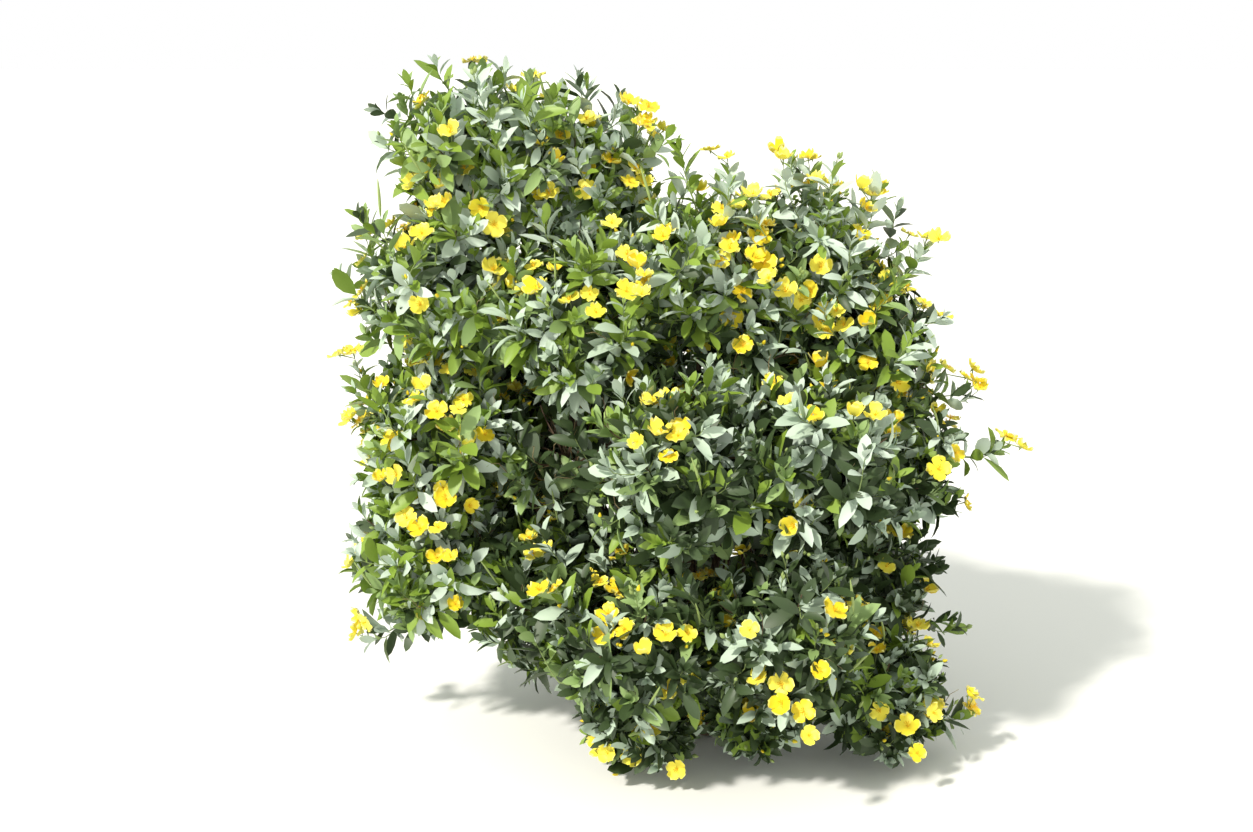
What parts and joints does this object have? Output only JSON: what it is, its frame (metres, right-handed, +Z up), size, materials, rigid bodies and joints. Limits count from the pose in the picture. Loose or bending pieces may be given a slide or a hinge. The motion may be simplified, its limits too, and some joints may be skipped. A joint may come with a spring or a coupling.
{
  "type": "bush poppy shrub",
  "caption": "Rooted evergreen shrub in flower: a short main stem, slim tapering boughs and leafy masses with yellow four-petalled blossoms.",
  "frame": {"origin": "middle of the flat cut under the main stem, at ground level", "axes": "+Z up, -Y towards the front of the crown, +X to its right"},
  "size_m": [1.2593, 0.9707, 1.2338],
  "materials": {
    "bark": "rough",
    "foliage": "matte"
  },
  "bodies": {
    "root": {"main_stem": "bark", "bough_centre": "bark", "bough_right_front": "bark", "bough_front_left": "bark", "bough_front_middle": "bark", "bough_skirt_left": "bark", "bough_skirt_middle": "bark", "bough_skirt_right": "bark", "bough_peak": "bark", "bough_peak_right": "bark", "bough_upper_left": "bark", "bough_upper_middle": "bark", "bough_left_flank": "bark", "bough_left_low": "bark", "bough_left_inner": "bark", "bough_left_middle": "bark", "bough_middle": "bark", "bough_centre_high": "bark", "bough_shoulder": "bark", "bough_right_high": "bark", "bough_right_flank": "bark", "bough_right_low": "bark", "bough_back_left": "bark", "bough_back_left_low": "bark", "bough_back_top": "bark", "bough_back_middle": "bark", "bough_back_right": "bark", "bough_back_right_low": "bark", "bough_back_low": "bark", "foliage_centre": "foliage", "foliage_right_front": "foliage", "foliage_front_left": "foliage", "foliage_front_middle": "foliage", "foliage_skirt_left": "foliage", "foliage_skirt_middle": "foliage", "foliage_skirt_right": "foliage", "foliage_peak": "foliage", "foliage_peak_right": "foliage", "foliage_upper_left": "foliage", "foliage_upper_middle": "foliage", "foliage_left_flank": "foliage", "foliage_left_low": "foliage", "foliage_left_inner": "foliage", "foliage_left_middle": "foliage", "foliage_middle": "foliage", "foliage_centre_high": "foliage", "foliage_shoulder": "foliage", "foliage_right_high": "foliage", "foliage_right_flank": "foliage", "foliage_right_low": "foliage", "foliage_back_left": "foliage", "foliage_back_left_low": "foliage", "foliage_back_top": "foliage", "foliage_back_middle": "foliage", "foliage_back_right": "foliage", "foliage_back_right_low": "foliage", "foliage_back_low": "foliage"}
  },
  "joints": []
}
